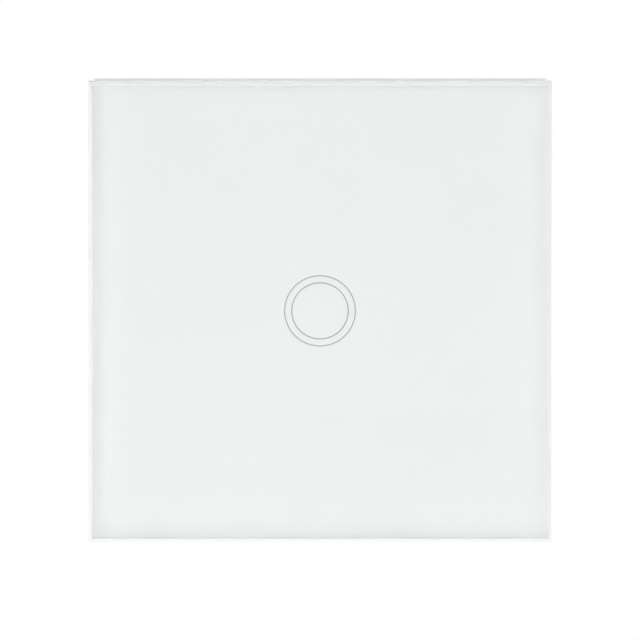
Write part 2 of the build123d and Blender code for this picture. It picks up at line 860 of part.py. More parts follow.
def relay_open_contact():
    """The contact that the blade meets when the coil pulls."""
    strip_top = open_contact_top - contact_height
    contact = slab(disc(contact_radius, contact_x, relay_z), strip_top, open_contact_top)
    left = contact_x - contact_radius
    right = strip_x + fixed_strip_thickness
    strip = bar(right - left, fixed_strip_width, (left + right) / 2, relay_z)
    contact += slab(strip, strip_top - fixed_strip_thickness, strip_top)
    contact += slab(bar(fixed_strip_thickness, fixed_strip_width, open_pin_x, relay_z), relay_seat, strip_top)
    return contact + relay_pin(fixed_strip_thickness, relay_pin_width, open_pin_x, relay_z, relay_seat)


def relay_rest_contact():
    """The contact that the blade meets at rest, on an arm that comes down beside it."""
    strip_low = rest_contact_low + contact_height
    contact = slab(disc(contact_radius, contact_x, relay_z), rest_contact_low, strip_low)
    far = rest_pin_z + fixed_strip_thickness / 2
    near = relay_z - contact_radius
    strip = bar(rest_strip_width, far - near, contact_x, (near + far) / 2)
    contact += slab(strip, strip_low, strip_low + fixed_strip_thickness)
    arm = bar(rest_strip_width, fixed_strip_thickness, contact_x, rest_pin_z)
    contact += slab(arm, relay_seat, strip_low)
    return contact + relay_pin(relay_pin_width, fixed_strip_thickness, rest_pin_x, rest_pin_z, relay_seat)


# Other parts on the power board, placed from the walls and from each other

film_x = inner_half - part_side_gap - film_capacitor_length / 2
film_z = inner_half - relay_top_gap - film_capacitor_width / 2
film_low = film_z - film_capacitor_width / 2
main_x = inner_half - part_side_gap - main_electrolytic_radius
main_z = film_low - part_gap - main_electrolytic_radius
small_x = main_x - main_electrolytic_radius - part_gap - small_electrolytic_radius
small_z = film_low - part_gap - small_electrolytic_radius
fuse_x = inner_half - part_side_gap - fuse_length / 2
fuse_z = block_high + block_fit_gap + housing_wall + fuse_width / 2
inductor_x = fuse_x - fuse_length / 2 - part_gap - inductor_radius
inductor_z = fuse_z - fuse_width / 2 + inductor_radius
varistor_z = relay_z - relay_width / 2 - part_gap - varistor_thickness / 2
film_leads = [(film_x + side * film_capacitor_lead_spacing / 2, film_z) for side in (-1, 1)]
main_leads = [(main_x + side * main_electrolytic_radius / 2, main_z) for side in (-1, 1)]
small_leads = [(small_x + side * small_electrolytic_radius / 2, small_z) for side in (-1, 1)]
fuse_leads = [(fuse_x + side * fuse_lead_spacing / 2, fuse_z) for side in (-1, 1)]
inductor_leads = [(inductor_x + side * inductor_radius / 2, inductor_z) for side in (-1, 1)]
varistor_leads = [(side * varistor_radius / 2 - varistor_centre, varistor_z) for side in (-1, 1)]


def leaded(body, places, height=0):
    for lead in leads(places, power_board_front, height):
        body += lead
    return body


def film_capacitor():
    box = slab(bar(film_capacitor_length, film_capacitor_width, film_x, film_z),
               power_board_back, power_board_back + film_capacitor_height)
    box = chamfer(box.edges().filter_by(Axis.Y) + box.faces().sort_by(Axis.Y)[-1].edges(), box_edge)
    return leaded(box, film_leads)


def electrolytic(radius, height, x, z):
    """A can with a rolled groove near its foot and a rounded top."""
    seat = power_board_back
    groove = height / 6
    rim = electrolytic_rim
    return lathe([(0, seat), (radius, seat), (radius, seat + groove - electrolytic_groove),
                  (radius - electrolytic_groove, seat + groove), (radius, seat + groove + electrolytic_groove),
                  (radius, seat + height - rim), (radius - rim, seat + height), (0, seat + height)], x, z)


def main_electrolytic():
    can = electrolytic(main_electrolytic_radius, main_electrolytic_height, main_x, main_z)
    return leaded(can, main_leads)


def small_electrolytic():
    can = electrolytic(small_electrolytic_radius, small_electrolytic_height, small_x, small_z)
    return leaded(can, small_leads)


def varistor():
    """A coated disc that stands on its two leads."""
    centre = power_board_back + varistor_stand + varistor_radius
    coin = Pos(-varistor_centre, centre, varistor_z) * Cylinder(varistor_radius, varistor_thickness)
    coin = chamfer(coin.edges().filter_by(GeomType.CIRCLE), varistor_edge)
    return leaded(coin, varistor_leads, varistor_stand + varistor_radius)


def fuse():
    box = slab(bar(fuse_length, fuse_width, fuse_x, fuse_z), power_board_back, power_board_back + fuse_height)
    box = chamfer(box.edges().filter_by(Axis.Y) + box.faces().sort_by(Axis.Y)[-1].edges(), box_edge)
    return leaded(box, fuse_leads)


def inductor_core():
    low = power_board_back
    high = low + inductor_height
    core = lathe([(0, low), (inductor_radius, low), (inductor_radius, low + inductor_flange),
                  (inductor_neck_radius, low + inductor_flange), (inductor_neck_radius, high - inductor_flange),
                  (inductor_radius, high - inductor_flange), (inductor_radius, high), (0, high)],
                 inductor_x, inductor_z)
    return leaded(core, inductor_leads)


def inductor_winding():
    low = power_board_back + inductor_flange + inductor_wire_gap
    high = power_board_back + inductor_height - inductor_flange - inductor_wire_gap
    inner = inductor_neck_radius + inductor_wire_gap
    outer = inductor_radius - inductor_wire_inset
    return lathe([(inner, low), (outer, low), (outer, high), (inner, high)], inductor_x, inductor_z)


def bridge_rectifier():
    x = bridge_side_gap + bridge_length / 2 - inner_half
    z = relay_z - relay_width / 2 - part_gap - bridge_width / 2 - bridge_lead_reach
    seat = power_board_back
    body = slab(bar(bridge_length, bridge_width, x, z), seat, seat + bridge_height)
    body = chamfer(body.faces().sort_by(Axis.Y)[-1].edges(), bridge_height / 8)
    reach = bridge_width / 2 + bridge_lead_reach
    for i in (-1, 1):
        lead = bar(bridge_lead_width, 2 * reach, x + i * bridge_lead_spacing / 2, z)
        body += slab(lead, seat, seat + bridge_lead_thickness)
    return body


def power_board():
    board = board_blank()
    for places in (film_leads, main_leads, small_leads, fuse_leads, inductor_leads, varistor_leads):
        for x, z in places:
            board -= pin(lead_radius + lead_hole_gap, x, z)
    for outline in relay_pin_outlines(lead_hole_gap):
        board -= outline
    for x in pole_places:
        board -= bar(bar_pin_width + 2 * lead_hole_gap, bar_thickness + 2 * lead_hole_gap, x, bar_leg_z)
    return slab(board, power_board_front, power_board_back)


def power_board_parts():
    """Small parts on the front of the power board, in two rows clear of the leads."""
    z = block_low + block_depth / 3
    places = row_places(z) + row_places(z + small_part_pitch)
    return group(small_part(x, z, power_board_front) for x, z in places)


# Terminal block: in each pole a screw lifts a clamp, which presses the wire against a brass bar

bar_rear = block_back - bar_rear_inset
bar_front = bar_rear - bar_thickness
bar_leg_z = block_high - bar_end_gap - bar_thickness / 2
roof_low = bar_rear + bar_gap
clamp_low = roof_low - clamp_window_height - clamp_floor
clamp_high = roof_low + clamp_roof
wire_hole_y = (roof_low - clamp_window_height + bar_front) / 2
chamber_low = block_low + block_wire_wall
clamp_z = chamber_low + clamp_gap + clamp_depth / 2
chamber_high = clamp_z + clamp_depth / 2 + clamp_gap
screw_head_rear = block_back - terminal_screw_inset
screw_head_seat = screw_head_rear - terminal_screw_head_height
chamber_top = screw_head_seat - screw_seat_gap - screw_shelf


def terminal_block():
    block = slab(bar(block_width, block_depth, 0, (block_low + block_high) / 2), power_board_back, block_back)
    block = chamfer(block.faces().sort_by(Axis.Y)[-1].edges(), block_edge)
    chamber = bar(clamp_width + 2 * clamp_gap, chamber_high - chamber_low, 0, (chamber_low + chamber_high) / 2)
    slot_high = bar_leg_z + bar_thickness / 2 + bar_slot_gap
    slot = bar(bar_width + 2 * bar_slot_gap, slot_high - clamp_z, 0, (slot_high + clamp_z) / 2)
    cut = slab(chamber, power_board_back - overrun, chamber_top)
    cut += slab(slot, power_board_back - overrun, bar_rear + bar_slot_gap)
    cut += slab(disc(terminal_screw_radius + screw_well_gap, 0, clamp_z), chamber_top - overrun, block_back)
    well = disc(terminal_screw_head_radius + screw_well_gap, 0, clamp_z)
    cut += slab(well, screw_head_seat - screw_seat_gap, block_back + overrun)
    cut += wire_funnel()
    for x in pole_places:
        block -= Pos(x, 0, 0) * cut
    return block


def wire_funnel():
    """The wire's way in from below: a round hole with a flared mouth."""
    hole = Plane.XY.offset(block_low - overrun) * Pos(0, wire_hole_y) * Circle(wire_hole_radius)
    mouth_radius = wire_hole_radius + wire_hole_lead_in
    mouth = Cone(mouth_radius, wire_hole_radius, wire_hole_lead_in)
    mouth = Pos(0, wire_hole_y, block_low + wire_hole_lead_in / 2) * mouth
    return extrude(hole, block_wire_wall + 2 * overrun) + mouth


def terminal_bar(x):
    start = clamp_z - clamp_depth / 2
    end = bar_leg_z + bar_thickness / 2
    level = slab(bar(bar_width, end - start, x, (start + end) / 2), bar_front, bar_rear)
    leg = slab(bar(bar_width, bar_thickness, x, bar_leg_z), power_board_back, bar_rear)
    pin = slab(bar(bar_pin_width, bar_thickness, x, bar_leg_z), power_board_front - lead_tail, power_board_back)
    return level + leg + pin


def terminal_bars():
    return group(terminal_bar(x) for x in pole_places)


def terminal_clamp(x):
    """A steel box clamp, threaded in its roof and open along the wire."""
    clamp = slab(bar(clamp_width, clamp_depth, 0, clamp_z), clamp_low, clamp_high)
    clamp = chamfer(clamp.edges().filter_by(Axis.Z), clamp_edge)
    window = bar(clamp_width - 2 * clamp_cheek, clamp_depth + overrun, 0, clamp_z)
    clamp -= slab(window, clamp_low + clamp_floor, roof_low)
    hole = disc(terminal_screw_radius + thread_gap, 0, clamp_z)
    return Pos(x, 0, 0) * (clamp - slab(hole, roof_low - overrun, clamp_high + overrun))


def terminal_screw(x):
    tip = roof_low
    head = terminal_screw_head_radius
    screw = lathe([(0, tip), (terminal_screw_radius, tip), (terminal_screw_radius, screw_head_seat),
                   (head, screw_head_seat), (head, screw_head_rear - screw_slot_depth / 2),
                   (head - screw_slot_depth / 2, screw_head_rear), (0, screw_head_rear)], x, clamp_z)
    slot = bar(3 * head, screw_slot_width, x, clamp_z)
    return screw - slab(slot, screw_head_rear - screw_slot_depth, screw_head_rear + overrun)


pieces = {
    "glass_panel": glass_panel,
    "back_print": back_print,
    "ring_print": ring_print,
    "adhesive_frame": adhesive_frame,
    "panel_carrier": panel_carrier,
    "mounting_bracket": mounting_bracket,
    "module_screws": module_screws,
    "rear_housing": rear_housing,
    "sensor_cover": sensor_cover,
    "touch_spring": touch_spring,
    "indicator_led": indicator_led,
    "light_pipe": light_pipe,
    "sensor_board": sensor_board,
    "touch_chip": touch_chip,
    "sensor_board_parts": sensor_board_parts,
    "header_strip": header_strip,
    "header_pins": header_pins,
    "board_spacers": board_spacers,
    "power_board": power_board,
    "power_board_parts": power_board_parts,
    "relay_base": relay_base,
    "relay_cover": relay_cover,
    "relay_yoke": relay_yoke,
    "relay_core": relay_core,
    "relay_bobbin": relay_bobbin,
    "relay_coil": relay_coil,
    "relay_coil_pins": relay_coil_pins,
    "relay_armature": relay_armature,
    "relay_contact_blade": relay_contact_blade,
    "relay_open_contact": relay_open_contact,
    "relay_rest_contact": relay_rest_contact,
    "film_capacitor": film_capacitor,
    "main_electrolytic": main_electrolytic,
    "small_electrolytic": small_electrolytic,
    "varistor": varistor,
    "fuse": fuse,
    "inductor_core": inductor_core,
    "inductor_winding": inductor_winding,
    "bridge_rectifier": bridge_rectifier,
    "terminal_block": terminal_block,
    "terminal_bars": terminal_bars,
}

os.makedirs("parts", exist_ok=True)
for node, make in pieces.items():
    export_step(make(), f"parts/{node}.step")
for number, place in enumerate(pole_places, start=1):
    export_step(terminal_clamp(place), f"parts/terminal_clamp_{number}.step")
    export_step(terminal_screw(place), f"parts/terminal_screw_{number}.step")

# Values that the description of the moving parts and mounts needs
print(f"armature pivot x {yoke_left:.4f} y {armature_low:.4f} z {relay_z:.4f}, angle {armature_angle}")
print(f"terminal screws z {clamp_z:.4f}, clamp rise {terminal_turns * thread_pitch:.3f}")
print(f"wire holes y {wire_hole_y:.4f} z {block_low:.4f}, radius {wire_hole_radius}")
print(f"room above a raised clamp {chamber_top - clamp_high - terminal_turns * thread_pitch:.3f}")
print(f"room between floor and bar {bar_front - clamp_low - clamp_floor - terminal_turns * thread_pitch:.3f}")
rest_strip_top = rest_contact_low + contact_height + fixed_strip_thickness
print(f"room above the rest contact {relay_top - relay_wall - rest_strip_top:.3f}")
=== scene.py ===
import bpy
import bmesh
import json
from math import cos, pi, radians, sin
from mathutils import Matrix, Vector

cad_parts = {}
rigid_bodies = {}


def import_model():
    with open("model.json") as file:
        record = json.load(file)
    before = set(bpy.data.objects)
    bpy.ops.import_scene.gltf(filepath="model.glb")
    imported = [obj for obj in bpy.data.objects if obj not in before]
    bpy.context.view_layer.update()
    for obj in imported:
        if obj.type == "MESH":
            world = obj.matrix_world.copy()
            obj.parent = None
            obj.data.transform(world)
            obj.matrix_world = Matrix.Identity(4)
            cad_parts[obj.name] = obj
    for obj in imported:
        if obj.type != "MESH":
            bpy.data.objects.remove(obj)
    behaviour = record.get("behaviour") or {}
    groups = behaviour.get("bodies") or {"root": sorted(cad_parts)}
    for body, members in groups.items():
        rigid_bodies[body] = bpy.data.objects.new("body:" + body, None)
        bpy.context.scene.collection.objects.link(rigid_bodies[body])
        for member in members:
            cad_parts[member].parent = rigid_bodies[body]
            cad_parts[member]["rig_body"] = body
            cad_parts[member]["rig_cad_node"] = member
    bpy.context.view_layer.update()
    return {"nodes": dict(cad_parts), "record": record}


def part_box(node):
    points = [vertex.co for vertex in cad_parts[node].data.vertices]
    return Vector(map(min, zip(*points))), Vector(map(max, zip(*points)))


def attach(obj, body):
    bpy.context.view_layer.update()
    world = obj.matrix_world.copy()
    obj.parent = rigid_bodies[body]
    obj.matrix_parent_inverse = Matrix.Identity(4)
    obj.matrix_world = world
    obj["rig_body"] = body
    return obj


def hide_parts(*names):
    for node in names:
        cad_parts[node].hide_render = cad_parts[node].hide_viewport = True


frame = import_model()

# A touch light switch with a glass front. The wall is the plane y = 0, the front faces -Y and
# +Z is up. Lengths are in metres.

mm = 0.001


# Selecting and finishing

def clear_selection():
    """Leave edit mode and deselect every object."""
    if bpy.context.object and bpy.context.object.mode != "OBJECT":
        bpy.ops.object.mode_set(mode="OBJECT")
    bpy.ops.object.select_all(action="DESELECT")


def choose(piece):
    """Make one object the only selected and active one."""
    clear_selection()
    piece.select_set(True)
    bpy.context.view_layer.objects.active = piece


def named(name):
    """Name the object that the last operator made."""
    piece = bpy.context.object
    piece.name = name
    piece.data.name = name
    return piece


def bake_place(piece):
    """Put the place, turn and scale of a piece into its mesh."""
    choose(piece)
    bpy.ops.object.transform_apply(location=True, rotation=True, scale=True)
    return piece


def modify(piece, kind, **values):
    """Add a modifier, set its values and apply it."""
    choose(piece)
    modifier = piece.modifiers.new(kind.title(), kind)
    for key, value in values.items():
        setattr(modifier, key, value)
    bpy.ops.object.modifier_apply(modifier=modifier.name)


def edit_faces(piece, wanted):
    """Go to edit mode with only the faces selected for which wanted(face) is true."""
    choose(piece)
    bpy.ops.object.mode_set(mode="EDIT")
    bpy.ops.mesh.select_mode(type="FACE")
    bpy.ops.mesh.select_all(action="DESELECT")
    mesh = bmesh.from_edit_mesh(piece.data)
    for face in mesh.faces:
        face.select_set(bool(wanted(face)))
    bmesh.update_edit_mesh(piece.data)


def edit_edges(piece, wanted):
    """Go to edit mode with only the edges selected for which wanted(edge) is true."""
    choose(piece)
    bpy.ops.object.mode_set(mode="EDIT")
    bpy.ops.mesh.select_mode(type="EDGE")
    bpy.ops.mesh.select_all(action="DESELECT")
    mesh = bmesh.from_edit_mesh(piece.data)
    for edge in mesh.edges:
        edge.select_set(bool(wanted(edge)))
    bmesh.update_edit_mesh(piece.data)


def end_edit():
    """Go back to object mode."""
    bpy.ops.object.mode_set(mode="OBJECT")


def smooth_by_angle(piece, degrees):
    """Shade a piece smooth where its faces meet at less than an angle."""
    choose(piece)
    bpy.ops.object.shade_smooth_by_angle(angle=radians(degrees))


def softened(node, width):
    """A copy of a CAD node with its faces joined again and its sharp edges rounded."""
    merge_distance = 0.002 * mm
    flat_within, sharp_from, smooth_below = 0.5, 34, 60     # degrees
    original = frame["nodes"][node]
    choose(original)
    bpy.ops.object.duplicate()
    piece = named(node + "_finished")
    piece.parent = None
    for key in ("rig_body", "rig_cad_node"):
        if key in piece:
            del piece[key]
    bpy.ops.object.mode_set(mode="EDIT")
    bpy.ops.mesh.select_all(action="SELECT")
    bpy.ops.mesh.remove_doubles(threshold=merge_distance)
    bpy.ops.mesh.dissolve_limited(angle_limit=radians(flat_within))
    end_edit()
    modify(piece, "BEVEL", width=width, segments=2, limit_method="ANGLE",
           angle_limit=radians(sharp_from), use_clamp_overlap=True, miter_outer="MITER_ARC")
    smooth_by_angle(piece, smooth_below)
    modify(piece, "WEIGHTED_NORMAL", mode="FACE_AREA", weight=100, keep_sharp=True)
    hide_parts(node)
    return piece


# Materials

def new_material(name):
    """A new material with its nodes, its links and its shader."""
    material = bpy.data.materials.new(name)
    material.use_nodes = True
    tree = material.node_tree
    return material, tree.nodes, tree.links, tree.nodes["Principled BSDF"]


def object_coordinates(nodes):
    """The place on the piece itself, which a pattern keeps to."""
    return nodes.new("ShaderNodeTexCoord").outputs["Object"]


def noise(nodes, links, scale, detail=3, roughness=0.5, stretch=None):
    """Noise on object coordinates, with its grain given per metre."""
    texture = nodes.new("ShaderNodeTexNoise")
    texture.inputs["Scale"].default_value = scale
    texture.inputs["Detail"].default_value = detail
    texture.inputs["Roughness"].default_value = roughness
    source = object_coordinates(nodes)
    if stretch:
        mapping = nodes.new("ShaderNodeMapping")
        mapping.inputs["Scale"].default_value = stretch
        links.new(source, mapping.inputs["Vector"])
        source = mapping.outputs["Vector"]
    links.new(source, texture.inputs["Vector"])
    return texture.outputs["Fac"]


def spread(nodes, links, value, low, high, start=0.3, end=0.7):
    """Map a texture's value to a range of numbers."""
    mapping = nodes.new("ShaderNodeMapRange")
    mapping.inputs["From Min"].default_value = start
    mapping.inputs["From Max"].default_value = end
    mapping.inputs["To Min"].default_value = low
    mapping.inputs["To Max"].default_value = high
    links.new(value, mapping.inputs["Value"])
    return mapping.outputs["Result"]


def two_colours(nodes, links, value, first, second, start=0.35, end=0.65):
    """Go from one colour to another as a texture's value goes from start to end."""
    ramp = nodes.new("ShaderNodeValToRGB")
    ramp.color_ramp.elements[0].position = start
    ramp.color_ramp.elements[0].color = (*first, 1)
    ramp.color_ramp.elements[1].position = end
    ramp.color_ramp.elements[1].color = (*second, 1)
    links.new(value, ramp.inputs["Fac"])
    return ramp.outputs["Color"]


def bump(nodes, links, value, shader, strength, distance):
    """Let a texture's value raise the surface that a shader shows."""
    node = nodes.new("ShaderNodeBump")
    node.inputs["Strength"].default_value = strength
    node.inputs["Distance"].default_value = distance
    links.new(value, node.inputs["Height"])
    links.new(node.outputs["Normal"], shader.inputs["Normal"])
    return node


def shade(colour, share):
    """A colour made darker or lighter by a share, and no channel above white."""
    return tuple(min(1.0, c * share) for c in colour)


def moulded_plastic(name, colour, roughness=0.45, grain=6000, depth=0.006, variation=0.04):
    """Moulded plastic: a fine spark texture, with slow changes of tone and gloss."""
    material, nodes, links, shader = new_material(name)
    slow = noise(nodes, links, 90, 2)
    tone = two_colours(nodes, links, slow, shade(colour, 1 - variation), shade(colour, 1 + variation))
    links.new(tone, shader.inputs["Base Color"])
    fine = noise(nodes, links, grain, 2, 0.6)
    gloss = spread(nodes, links, fine, roughness - 0.06, roughness + 0.08)
    links.new(gloss, shader.inputs["Roughness"])
    bump(nodes, links, fine, shader, 0.35, depth * mm)
    return material


def rolled_metal(name, colour, roughness, direction):
    """Plated metal: cloudy tone, and fine lines along one way."""
    material, nodes, links, shader = new_material(name)
    cloudy = noise(nodes, links, 160, 4, 0.6)
    tone = two_colours(nodes, links, cloudy, shade(colour, 0.93), shade(colour, 1.05))
    links.new(tone, shader.inputs["Base Color"])
    shader.inputs["Metallic"].default_value = 1.0
    lines = noise(nodes, links, 700, 3, 0.6, direction)
    links.new(spread(nodes, links, lines, roughness - 0.07, roughness + 0.1), shader.inputs["Roughness"])
    bump(nodes, links, lines, shader, 0.2, 0.003 * mm)
    return material


def clear_glass(name, tint):
    """Clear toughened glass, polished, with the faintest unevenness of its surface."""
    material, nodes, links, shader = new_material(name)
    shader.inputs["Base Color"].default_value = (*tint, 1)
    shader.inputs["Transmission Weight"].default_value = 1.0
    shader.inputs["IOR"].default_value = 1.52
    haze = noise(nodes, links, 1200, 2)
    links.new(spread(nodes, links, haze, 0.0, 0.02), shader.inputs["Roughness"])
    return material


def ground_glass(name, tint, clearness):
    """Glass ground by a wheel: whitish, with a fine grain across the edge."""
    material, nodes, links, shader = new_material(name)
    lines = noise(nodes, links, 2600, 3, 0.6, (1, 6, 1))
    links.new(two_colours(nodes, links, lines, shade(tint, 0.985), tint), shader.inputs["Base Color"])
    shader.inputs["Transmission Weight"].default_value = clearness
    shader.inputs["IOR"].default_value = 1.52
    links.new(spread(nodes, links, lines, 0.42, 0.5), shader.inputs["Roughness"])
    bump(nodes, links, lines, shader, 0.03, 0.002 * mm)
    return material


def fired_enamel(name, colour):
    """White enamel on the back of the glass: even, with a very faint cloud."""
    material, nodes, links, shader = new_material(name)
    slow = noise(nodes, links, 26, 2)
    tone = two_colours(nodes, links, slow, shade(colour, 0.996), shade(colour, 1.004))
    links.new(tone, shader.inputs["Base Color"])
    fine = noise(nodes, links, 2600, 2)
    links.new(spread(nodes, links, fine, 0.5, 0.6), shader.inputs["Roughness"])
    return material


def foam(name, colour):
    """Closed-cell foam tape."""
    material, nodes, links, shader = new_material(name)
    cells = nodes.new("ShaderNodeTexVoronoi")
    cells.inputs["Scale"].default_value = 3800
    links.new(object_coordinates(nodes), cells.inputs["Vector"])
    links.new(two_colours(nodes, links, cells.outputs["Distance"], shade(colour, 0.8), colour, 0.1, 0.5),
              shader.inputs["Base Color"])
    shader.inputs["Roughness"].default_value = 0.9
    bump(nodes, links, cells.outputs["Distance"], shader, 0.6, 0.03 * mm)
    return material


def wound_wire(name, colour, pitch):
    """Enamelled copper wire, wound in close turns about the Y axis, with painted shade darkening the
    grooves between the turns.
    """
    material, nodes, links, shader = new_material(name)
    wave = nodes.new("ShaderNodeTexWave")
    wave.bands_direction = "Y"
    wave.inputs["Scale"].default_value = 2 * pi / (20 * pitch)
    wave.inputs["Distortion"].default_value = 0.6
    wave.inputs["Detail"].default_value = 1
    links.new(object_coordinates(nodes), wave.inputs["Vector"])
    # Painted shade: the colour falls to under half in the grooves between the turns, along the same
    # waves that raise the turns.
    links.new(two_colours(nodes, links, wave.outputs["Fac"], shade(colour, 0.45), colour, 0.05, 0.6),
              shader.inputs["Base Color"])
    shader.inputs["Metallic"].default_value = 0.85
    shader.inputs["Roughness"].default_value = 0.28
    bump(nodes, links, wave.outputs["Fac"], shader, 0.8, 0.05 * mm)
    return material


def circuit_board(name, mask, track):
    """Solder mask over glass cloth, with broad copper areas that show through it."""
    material, nodes, links, shader = new_material(name)
    laid_flat = nodes.new("ShaderNodeMapping")
    laid_flat.inputs["Rotation"].default_value = (pi / 2, 0, 0)
    links.new(object_coordinates(nodes), laid_flat.inputs["Vector"])
    copper = nodes.new("ShaderNodeTexBrick")
    copper.offset, copper.squash, copper.squash_frequency = 0.37, 0.55, 3
    for value, amount in (("Scale", 1), ("Brick Width", 14.5 * mm), ("Row Height", 6.2 * mm),
                          ("Mortar Size", 0.3 * mm), ("Mortar Smooth", 0.15), ("Bias", 0)):
        copper.inputs[value].default_value = amount
    for value, colour in (("Color1", track), ("Color2", shade(track, 0.86)), ("Mortar", mask)):
        copper.inputs[value].default_value = (*colour, 1)
    links.new(laid_flat.outputs["Vector"], copper.inputs["Vector"])
    links.new(copper.outputs["Color"], shader.inputs["Base Color"])
    weave = noise(nodes, links, 2500, 2, 0.5, (1, 1, 0.3))
    links.new(spread(nodes, links, weave, 0.25, 0.4), shader.inputs["Roughness"])
    bump(nodes, links, copper.outputs["Fac"], shader, 0.3, 0.03 * mm).invert = True
    return material


def speckled(name, base, speck, roughness):
    """Moulded or pressed powder with fine specks in it."""
    material, nodes, links, shader = new_material(name)
    value = noise(nodes, links, 2600, 3, 0.7)
    links.new(two_colours(nodes, links, value, base, speck, 0.45, 0.75), shader.inputs["Base Color"])
    gloss = spread(nodes, links, value, roughness - 0.08, roughness + 0.08)
    links.new(gloss, shader.inputs["Roughness"])
    bump(nodes, links, value, shader, 0.2, 0.01 * mm)
    return material


def clear_acrylic(name):
    """Clear moulded plastic with a slight haze."""
    material, nodes, links, shader = new_material(name)
    shader.inputs["Base Color"].default_value = (0.95, 0.97, 0.97, 1)
    shader.inputs["Transmission Weight"].default_value = 1.0
    shader.inputs["IOR"].default_value = 1.49
    haze = noise(nodes, links, 900, 3)
    links.new(spread(nodes, links, haze, 0.08, 0.2), shader.inputs["Roughness"])
    return material


# Sizes read from the frame

glass_low, glass_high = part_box("glass_panel")
panel_half = glass_high.x
glass_front, glass_back = glass_low.y, glass_high.y

materials = {
    "panel_glass": clear_glass("clear_glass", (0.988, 0.998, 0.994)),
    "ground_edge": ground_glass("ground_edge", (0.75, 0.765, 0.76), 0.25),
    "ground_side": ground_glass("ground_side", (0.955, 0.975, 0.965), 0.9),
    "white_enamel": fired_enamel("white_enamel", (0.925, 0.935, 0.93)),
    "grey_ink": fired_enamel("grey_ink", (0.43, 0.44, 0.45)),
    "foam_tape": foam("foam_tape", (0.80, 0.80, 0.78)),
    "white_plastic": moulded_plastic("white_plastic", (0.80, 0.805, 0.80), 0.42),
    "dark_plastic": moulded_plastic("dark_plastic", (0.035, 0.036, 0.039), 0.5, 4200, 0.012, 0.15),
    "relay_plastic": moulded_plastic("relay_plastic", (0.03, 0.12, 0.35), 0.3, 5000, 0.003),
    "terminal_plastic": moulded_plastic("terminal_plastic", (0.04, 0.26, 0.10), 0.34, 5000, 0.004, 0.08),
    "nylon": moulded_plastic("nylon", (0.74, 0.73, 0.67), 0.5),
    "clear_plastic": clear_acrylic("clear_acrylic"),
    "led_white": moulded_plastic("led_white", (0.82, 0.82, 0.74), 0.35),
    "zinc_steel": rolled_metal("zinc_steel", (0.60, 0.62, 0.64), 0.34, (1, 1, 10)),
    "screw_steel": rolled_metal("screw_steel", (0.66, 0.66, 0.65), 0.26, (6, 1, 6)),
    "spring_steel": rolled_metal("spring_steel", (0.68, 0.67, 0.64), 0.22, (1, 8, 1)),
    "tin": rolled_metal("tin", (0.72, 0.72, 0.70), 0.3, (1, 6, 1)),
    "brass": rolled_metal("brass", (0.72, 0.54, 0.25), 0.28, (10, 1, 1)),
    "copper": wound_wire("copper_wire", (0.66, 0.28, 0.13), 0.16 * mm),
    "can_aluminium": rolled_metal("can_aluminium", (0.42, 0.43, 0.44), 0.4, (8, 1, 1)),
    "copper_sheet": rolled_metal("copper_sheet", (0.72, 0.36, 0.20), 0.26, (1, 10, 1)),
    "board_green": circuit_board("board_green", (0.012, 0.10, 0.045), (0.02, 0.17, 0.07)),
    "chip_black": speckled("chip_black", (0.015, 0.015, 0.017), (0.04, 0.04, 0.042), 0.55),
    "chip_tan": speckled("chip_tan", (0.40, 0.30, 0.19), (0.50, 0.39, 0.26), 0.4),
    "ferrite": speckled("ferrite", (0.04, 0.04, 0.045), (0.09, 0.09, 0.095), 0.6),
    "capacitor_yellow": moulded_plastic("capacitor_yellow", (0.72, 0.47, 0.05), 0.3),
    "capacitor_black": moulded_plastic("capacitor_sleeve", (0.02, 0.022, 0.03), 0.25, 2500),
    "varistor_blue": moulded_plastic("varistor_blue", (0.03, 0.13, 0.42), 0.25, 1400, 0.03),
}

slot_of = {p["node"]: p["material_slot"] for p in frame["record"]["subparts"]}


def coat(piece, slot):
    """Give a piece one material."""
    piece.data.materials.clear()
    piece.data.materials.append(materials[slot])


for node, thing in frame["nodes"].items():
    coat(thing, slot_of[node])
coat(frame["nodes"]["relay_contact_blade"], "copper_sheet")


# Glass pane

def glass_pane():
    """The pane, with ground sides and chamfers, and fine arrises."""
    front_chamfer, back_chamfer, arris = 0.55 * mm, 0.25 * mm, 0.05 * mm
    contact = 0.01 * mm             # the enamel is fused this far into the glass
    depth = glass_back + contact - glass_front
    clear_selection()
    bpy.ops.mesh.primitive_cube_add(size=1, location=(0, glass_front + depth / 2, 0),
                                    scale=(2 * panel_half, depth, 2 * panel_half))
    pane = bake_place(named("glass_pane"))
    for face_depth, chamfer in ((glass_front, front_chamfer), (glass_back + contact, back_chamfer)):
        edit_edges(pane, lambda e: all(abs(v.co.y - face_depth) < mm / 100 for v in e.verts))
        bpy.ops.mesh.bevel(offset=chamfer, offset_type="OFFSET", segments=1, affect="EDGES")
        end_edit()
    modify(pane, "BEVEL", width=arris, segments=2, limit_method="ANGLE", angle_limit=radians(30))
    smooth_by_angle(pane, 30)
    coat(pane, "panel_glass")
    for finish, steepest in (("ground_side", 0.3), ("ground_edge", -0.3)):
        pane.data.materials.append(materials[finish])
        edit_faces(pane, lambda f: -0.9 < f.normal.y < steepest)
        pane.active_material_index = len(pane.data.materials) - 1
        bpy.ops.object.material_slot_assign()
        end_edit()
    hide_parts("glass_panel")
    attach(pane, "front_panel")


glass_pane()


# Touch spring

